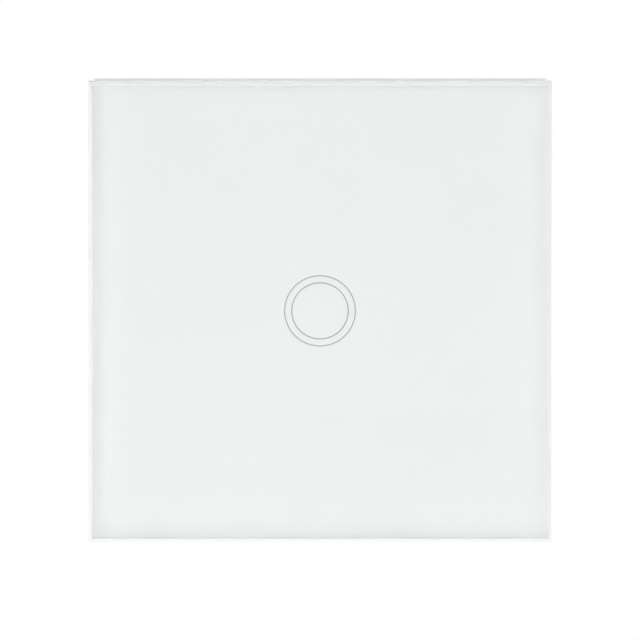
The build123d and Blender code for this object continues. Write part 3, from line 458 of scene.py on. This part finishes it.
def touch_spring():
    """A coil of round wire that narrows towards the glass."""
    low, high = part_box("touch_spring")
    wire = 0.5 * mm
    drawn_share = 0.97              # of the wire, so that its facets stay inside the box
    turns, steps_per_turn = 4.5, 16
    base, tip = 6.2 * mm, 5.4 * mm
    start, end = high.y - wire / 2, low.y + wire / 2
    curve = bpy.data.curves.new("spring_wire", "CURVE")
    curve.dimensions = "3D"
    curve.bevel_depth = drawn_share * wire / 2
    curve.bevel_resolution = 3
    curve.use_fill_caps = True
    spline = curve.splines.new("NURBS")
    count = round(turns * steps_per_turn) + 1
    spline.points.add(count - 1)
    for i, point in enumerate(spline.points):
        share = i / (count - 1)
        radius = base + (tip - base) * share
        angle = 2 * pi * turns * share
        point.co = (radius * cos(angle), start + (end - start) * share, radius * sin(angle), 1)
    spline.order_u = 4
    spline.use_endpoint_u = True
    spring = bpy.data.objects.new("spring_coil", curve)
    bpy.context.scene.collection.objects.link(spring)
    choose(spring)
    bpy.ops.object.convert(target="MESH")
    smooth_by_angle(spring, 60)
    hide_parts("touch_spring")
    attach(spring, "module")
    coat(spring, "spring_steel")


touch_spring()


# Screws

def along_y(piece):
    """Lay a primitive that was made upright along Y, its top to the front."""
    choose(piece)
    piece.rotation_euler = (pi / 2, 0, 0)
    return bake_place(piece)


def cut(piece, tool):
    """Take the shape of a tool out of a piece."""
    modify(piece, "BOOLEAN", operation="DIFFERENCE", object=tool, solver="EXACT")
    bpy.data.objects.remove(tool)


def thread(name, radius, pitch, start, end):
    """A screw thread about the Y axis, from one depth to another, its ridge closed at both ends."""
    thread_depth, ridge_radius = 0.55 * pitch, 0.62 * pitch
    turns = int((end - start) / pitch)
    clear_selection()
    bpy.ops.mesh.primitive_cylinder_add(vertices=32, radius=radius - thread_depth, depth=end - start,
                                        location=(0, 0, 0))
    shank = along_y(named(name))
    clear_selection()
    bpy.ops.mesh.primitive_circle_add(vertices=3, radius=ridge_radius, fill_type="NOTHING",
                                      location=(radius - ridge_radius, 0, 0), rotation=(0, 0, -pi / 2))
    ridge = bake_place(named(name + "_ridge"))
    modify(ridge, "SCREW", axis="Y", angle=2 * pi, screw_offset=pitch, iterations=turns - 1, steps=24,
           render_steps=24, use_merge_vertices=True)
    edit_edges(ridge, lambda e: True)
    bpy.ops.mesh.fill_holes(sides=3)
    bpy.ops.mesh.normals_make_consistent(inside=False)
    end_edit()
    for vertex in ridge.data.vertices:
        vertex.co.y += pitch / 2 - (end - start) / 2
    clear_selection()
    ridge.select_set(True)
    shank.select_set(True)
    bpy.context.view_layer.objects.active = shank
    bpy.ops.object.join()
    shank.location = (0, (start + end) / 2, 0)
    return bake_place(shank)


def screw_head(name, radius, height, seat, dome, faces_rear):
    """A round head that stands on its seat, slightly domed, with a rounded rim."""
    rim = 0.12 * mm
    way = 1 if faces_rear else -1
    clear_selection()
    bpy.ops.mesh.primitive_cylinder_add(vertices=48, radius=radius, depth=height, location=(0, 0, 0))
    head = along_y(named(name))
    head.location = (0, seat + way * height / 2, 0)
    bake_place(head)
    edit_faces(head, lambda f: way * f.normal.y > 0.9)
    bpy.ops.mesh.inset(thickness=0.25 * radius, depth=0)
    bpy.ops.mesh.inset(thickness=0.3 * radius, depth=0)
    end_edit()
    top = seat + way * height
    for vertex in head.data.vertices:
        out = (vertex.co.x ** 2 + vertex.co.z ** 2) ** 0.5 / radius
        if abs(vertex.co.y - top) < mm / 1000:
            vertex.co.y -= way * dome * out ** 2
    modify(head, "BEVEL", width=rim, segments=2, limit_method="ANGLE", angle_limit=radians(40))
    return head


def join(pieces, name):
    """Make one object of several."""
    clear_selection()
    for piece in pieces:
        piece.select_set(True)
    bpy.context.view_layer.objects.active = pieces[0]
    bpy.ops.object.join()
    return named(name)


def block_tool(name, size, location, turn=0):
    """A block to cut with, turned about the Y axis."""
    clear_selection()
    bpy.ops.mesh.primitive_cube_add(size=1, location=location, rotation=(0, turn, 0), scale=size)
    return bake_place(named(name))


def cross_tool(length, width, top, depth):
    """A cross whose arms slope in towards its point."""
    arms = [block_tool("arm", (length, 2 * depth, width), (0, top, 0), turn) for turn in (0, pi / 2)]
    for arm in arms:
        edit_faces(arm, lambda f: f.normal.y > 0.9)
        bpy.ops.transform.resize(value=(0.35, 1, 0.35))
        end_edit()
    modify(arms[0], "BOOLEAN", operation="UNION", object=arms[1], solver="EXACT")
    bpy.data.objects.remove(arms[1])
    return arms[0]


def module_screws():
    """Four pan-head screws with cross recesses, which hold the module on the bracket."""
    low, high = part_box("module_screws")
    head_radius, head_height, dome = 2.2 * mm, 1.5 * mm, 0.45 * mm
    recess_length, recess_width, recess_depth = 2.5 * mm, 0.62 * mm, 0.95 * mm
    thread_radius, pitch = 1.2 * mm, 0.8 * mm
    overlap = 0.1 * mm              # the shank reaches this far into the head
    spacing = high.x - low.x - 2 * head_radius
    seat = low.y + head_height
    head = screw_head("screw_head", head_radius, head_height, seat, dome, False)
    cut(head, cross_tool(recess_length, recess_width, low.y, recess_depth))
    shank = thread("screw_shank", thread_radius, pitch, seat - overlap, high.y)
    screw = join([head, shank], "module_screw")
    copies = []
    for i in (-1, 1):
        for k in (-1, 1):
            choose(screw)
            bpy.ops.object.duplicate()
            copy = named("module_screw_copy")
            copy.location = (i * spacing / 2, 0, k * spacing / 2)
            copies.append(bake_place(copy))
    bpy.data.objects.remove(screw)
    screws = join(copies, "pan_head_screws")
    smooth_by_angle(screws, 40)
    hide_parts("module_screws")
    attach(screws, "module")
    coat(screws, "screw_steel")


def terminal_screw(number):
    """One slotted clamp screw, seen from behind in its well."""
    low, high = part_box(f"terminal_screw_{number}")
    middle = (low + high) / 2
    head_radius = (high.x - low.x) / 2
    head_height, dome = 1.7 * mm, 0.2 * mm
    slot_width, slot_depth = 0.7 * mm, 0.85 * mm
    thread_radius, pitch = 1.45 * mm, 0.5 * mm
    overlap = 0.1 * mm              # the shank reaches this far into the head
    seat = high.y - head_height
    head = screw_head("clamp_screw_head", head_radius, head_height, seat, dome, True)
    cut(head, block_tool("slot", (3 * head_radius, 2 * slot_depth, slot_width), (0, high.y, 0)))
    shank = thread("clamp_screw_shank", thread_radius, pitch, low.y, seat + overlap)
    screw = join([head, shank], f"clamp_screw_{number}")
    screw.location = (middle.x, 0, middle.z)
    bake_place(screw)
    smooth_by_angle(screw, 40)
    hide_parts(f"terminal_screw_{number}")
    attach(screw, f"screw_{number}")
    coat(screw, "screw_steel")


module_screws()
for number in (1, 2, 3):
    terminal_screw(number)


# Moulded and pressed parts

rounded_edges = {
    "panel_carrier": 0.15 * mm,
    "rear_housing": 0.18 * mm,
    "sensor_cover": 0.12 * mm,
    "mounting_bracket": 0.1 * mm,
    "terminal_block": 0.12 * mm,
    "terminal_clamp_1": 0.1 * mm,
    "terminal_clamp_2": 0.1 * mm,
    "terminal_clamp_3": 0.1 * mm,
    "relay_cover": 0.12 * mm,
    "film_capacitor": 0.1 * mm,
    "fuse": 0.1 * mm,
    "main_electrolytic": 0.08 * mm,
    "small_electrolytic": 0.08 * mm,
}


def bare_can_end(capacitor):
    """Leave the rear end of a capacitor's aluminium can bare, inside the rim of its sleeve."""
    rim, hollow, flat_within = 0.55 * mm, 0.12 * mm, 0.02 * mm
    capacitor.data.materials.append(materials["can_aluminium"])
    rear = max(v.co.y for v in capacitor.data.vertices)
    edit_faces(capacitor, lambda f: f.normal.y > 0.99 and f.calc_center_median().y > rear - flat_within)
    bpy.ops.mesh.inset(thickness=rim, depth=-hollow)
    capacitor.active_material_index = 1
    bpy.ops.object.material_slot_assign()
    end_edit()


bodies = frame["record"]["behaviour"]["bodies"]
body_of_node = {node: body for body, members in bodies.items() for node in members}
for node, width in rounded_edges.items():
    finished = softened(node, width)
    coat(finished, slot_of[node])
    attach(finished, body_of_node[node])
    if node.endswith("electrolytic"):
        bare_can_end(finished)


# Camera and light

def aim(thing, target):
    """Turn a camera or a lamp towards a point."""
    thing.rotation_euler = (Vector(target) - thing.location).to_track_quat("-Z", "Y").to_euler()


def place_camera():
    """A long lens a little above the plate, as in the photograph."""
    elevation = radians(7.3)
    distance = 3.0
    frame_width = 110.6 * mm
    film_width = 36
    drop = 1.25 * mm                # the plate's middle stands above the middle of the frame
    data = bpy.data.cameras.new("camera")
    camera = bpy.data.objects.new("camera", data)
    bpy.context.scene.collection.objects.link(camera)
    data.sensor_width = film_width
    data.lens = film_width * distance / frame_width
    data.clip_end = 50
    target = Vector((0, glass_front, 0)) - Vector((0, 0, drop))
    camera.location = target + distance * Vector((0, -cos(elevation), sin(elevation)))
    aim(camera, target)
    bpy.context.scene.camera = camera


def area_light(name, location, size, power):
    """A broad white lamp that shines on the switch."""
    data = bpy.data.lights.new(name, "AREA")
    data.shape = "RECTANGLE"
    data.size, data.size_y = size
    data.energy = power
    light = bpy.data.objects.new(name, data)
    light.location = location
    bpy.context.scene.collection.objects.link(light)
    aim(light, (0, 0, 0))


def studio():
    """White surroundings for the camera, glass and metal, and softer light on the object."""
    light_on_object, white_background = 0.72, 1.0
    world = bpy.data.worlds.new("studio")
    bpy.context.scene.world = world
    world.use_nodes = True
    nodes, links = world.node_tree.nodes, world.node_tree.links
    background = nodes["Background"]
    background.inputs["Color"].default_value = (1, 1, 1, 1)
    path = nodes.new("ShaderNodeLightPath")
    seen = path.outputs["Is Camera Ray"]
    for ray in ("Is Glossy Ray", "Is Transmission Ray"):
        either = nodes.new("ShaderNodeMath")
        either.operation = "MAXIMUM"
        links.new(seen, either.inputs[0])
        links.new(path.outputs[ray], either.inputs[1])
        seen = either.outputs["Value"]
    strength = nodes.new("ShaderNodeMapRange")
    strength.inputs["To Min"].default_value = light_on_object
    strength.inputs["To Max"].default_value = white_background
    links.new(seen, strength.inputs["Value"])
    links.new(strength.outputs["Result"], background.inputs["Strength"])

    area_light("key", (-1.6, -1.6, 0.2), (1.2, 1.2), 24)
    area_light("fill", (1.65, -1.5, 0), (1.2, 1.2), 18.5)
    area_light("low", (0, -0.12, -0.2), (0.16, 0.06), 0.1)
    area_light("back", (0.8, 1.8, -0.14), (1.6, 0.6), 4)


def pale_floor():
    """A floor well below the switch, short enough to stay out of the front view."""
    floor_size, floor_level = 4.0, -0.45
    clear_selection()
    bpy.ops.mesh.primitive_plane_add(size=floor_size, location=(0, 0, floor_level))
    floor = named("floor")
    material, nodes, links, shader = new_material("pale_floor")
    tone = noise(nodes, links, 3, 2)
    colour = two_colours(nodes, links, tone, (0.84, 0.84, 0.84), (0.88, 0.88, 0.88))
    links.new(colour, shader.inputs["Base Color"])
    shader.inputs["Roughness"].default_value = 0.8
    floor.data.materials.append(material)


place_camera()
studio()
pale_floor()
bpy.context.scene.view_settings.view_transform = "Standard"
